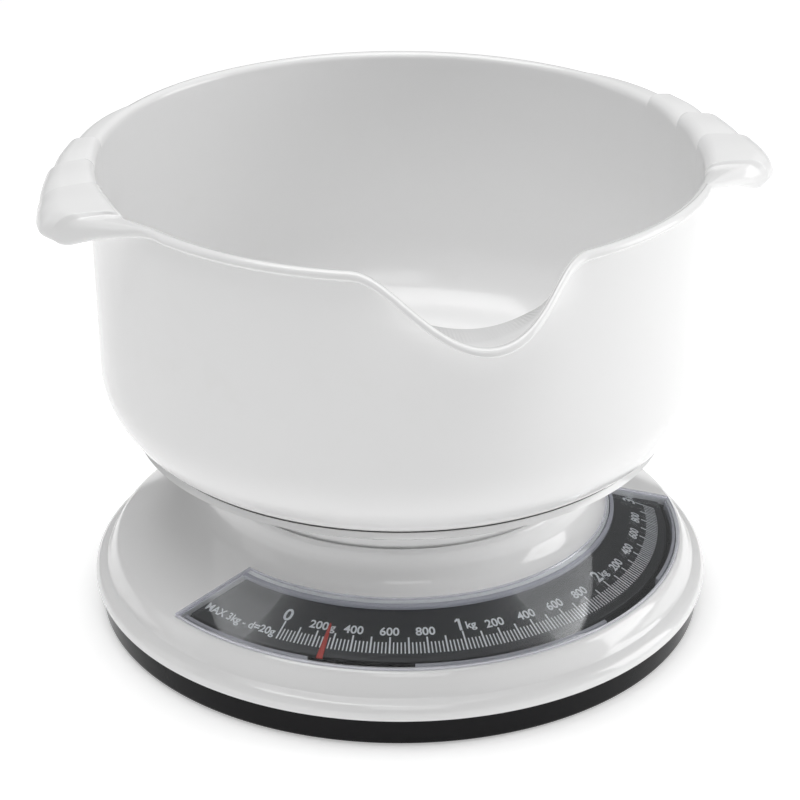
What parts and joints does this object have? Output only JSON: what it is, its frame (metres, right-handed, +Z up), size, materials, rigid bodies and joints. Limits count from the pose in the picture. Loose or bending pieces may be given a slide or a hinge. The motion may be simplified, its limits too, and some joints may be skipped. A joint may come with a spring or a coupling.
{
  "type": "kitchen scale",
  "caption": "Mechanical kitchen scale with a sloped dial window around a low round base and a lift-off mixing bowl with a pouring spout and finger grips",
  "frame": {"origin": "centre of the base tray's flat underside, 1.2 mm above the worktop that the rubber feet stand on", "axes": "+Z up along the axis of the round base, stem and bowl; -Y points out through the middle of the dial window; +X to the right of someone reading the dial"},
  "size_m": [0.24, 0.2266, 0.1628],
  "materials": {
    "white_shell": "high gloss white ABS",
    "black_base": "gloss black moulding",
    "dial_black": "printed satin black",
    "clear_lens": "clear polystyrene",
    "pointer_red": "painted red",
    "foot_rubber": "matt rubber",
    "brass": "machined brass",
    "nylon": "natural nylon",
    "plated_steel": "zinc-plated sheet steel",
    "bright_steel": "bright drawn steel"
  },
  "bodies": {
    "base": {"base_tray": "black_base", "bridge_plate": "plated_steel", "chassis_plate": "plated_steel", "chassis_screw_1": "bright_steel", "chassis_screw_2": "bright_steel", "chassis_screw_3": "bright_steel", "chassis_screw_4": "bright_steel", "cover_screw_1": "bright_steel", "cover_screw_2": "bright_steel", "cover_screw_3": "bright_steel", "cover_screw_4": "bright_steel", "crank_pivot": "bright_steel", "dial_lens": "clear_lens", "dial_plate": "dial_black", "dial_screw_left": "bright_steel", "dial_screw_right": "bright_steel", "main_spring": "bright_steel", "pivot_shaft_lower": "bright_steel", "pivot_shaft_upper": "bright_steel", "rack_guide": "nylon", "rubber_foot_1": "foot_rubber", "rubber_foot_2": "foot_rubber", "rubber_foot_3": "foot_rubber", "rubber_foot_4": "foot_rubber", "side_frame_left": "plated_steel", "side_frame_right": "plated_steel", "spindle_bush_lower": "brass", "spindle_bush_upper": "brass", "top_cover": "white_shell", "zero_pivot": "bright_steel"},
    "platform": {"carrier_pin_lower_left": "bright_steel", "carrier_pin_lower_right": "bright_steel", "carrier_pin_upper_left": "bright_steel", "carrier_pin_upper_right": "bright_steel", "carrier_screw_1": "bright_steel", "carrier_screw_2": "bright_steel", "carrier_screw_3": "bright_steel", "carrier_screw_4": "bright_steel", "load_carrier": "plated_steel", "platform": "white_shell"},
    "bowl": {"bowl": "white_shell"},
    "lower_lever": {"lower_lever": "bright_steel"},
    "upper_lever": {"upper_lever": "bright_steel"},
    "bell_crank": {"bell_crank": "bright_steel"},
    "rack": {"rack": "brass"},
    "pointer": {"spindle": "bright_steel", "pinion": "brass", "pointer_arm": "bright_steel", "pointer_needle": "pointer_red"},
    "zero_wheel": {"zero_wheel": "black_base"},
    "zero_lever": {"zero_lever": "plated_steel"}
  },
  "joints": [
    {"name": "platform_slide", "type": "slide", "parent": "base", "child": "platform", "axis": [0, 0, 1], "range_m": [-0.00639, 0.0006], "stiffness_N_per_m": 4203, "springref_m": 0.001, "deforming": ["main_spring"]},
    {"name": "bowl_lift", "type": "slide", "parent": "platform", "child": "bowl", "axis": [0, 0, 1], "range_m": [0, 0.07]},
    {"name": "lower_lever_hinge", "type": "hinge", "parent": "base", "child": "lower_lever", "pos_m": [0, 0.04, 0.0208], "axis": [1, 0, 0], "range_deg": [-1, 8.8]},
    {"name": "upper_lever_hinge", "type": "hinge", "parent": "base", "child": "upper_lever", "pos_m": [0, 0.04, 0.0408], "axis": [1, 0, 0], "range_deg": [-1, 8.8]},
    {"name": "bell_crank_hinge", "type": "hinge", "parent": "base", "child": "bell_crank", "pos_m": [0.01404, -0.009, 0.0398], "axis": [0, 1, 0], "range_deg": [-23, 3]},
    {"name": "rack_slide", "type": "slide", "parent": "base", "child": "rack", "axis": [1, 0, 0], "range_m": [-0.0009, 0.0081]},
    {"name": "pointer_hinge", "type": "hinge", "parent": "base", "child": "pointer", "pos_m": [0, 0, 0.0088], "axis": [0, 0, 1], "range_deg": [-11, 112]},
    {"name": "zero_wheel_hinge", "type": "hinge", "parent": "base", "child": "zero_wheel", "pos_m": [0, 0.088, 0.0048], "axis": [0, 0, 1], "range_deg": [-170, 170]},
    {"name": "zero_lever_hinge", "type": "hinge", "parent": "base", "child": "zero_lever", "pos_m": [0, 0.046, 0.0104], "axis": [1, 0, 0], "range_deg": [-0.4, 0.4]}
  ],
  "couplings": [
    {"joint": "lower_lever_hinge", "follows": "platform_slide", "rad_per_m": -22.727},
    {"joint": "upper_lever_hinge", "follows": "platform_slide", "rad_per_m": -22.727},
    {"joint": "bell_crank_hinge", "follows": "platform_slide", "rad_per_m": 60.454},
    {"joint": "rack_slide", "follows": "platform_slide", "ratio": -1.2091},
    {"joint": "pointer_hinge", "follows": "platform_slide", "rad_per_m": -302.27},
    {"joint": "zero_lever_hinge", "follows": "zero_wheel_hinge", "ratio": 0.0023}
  ]
}
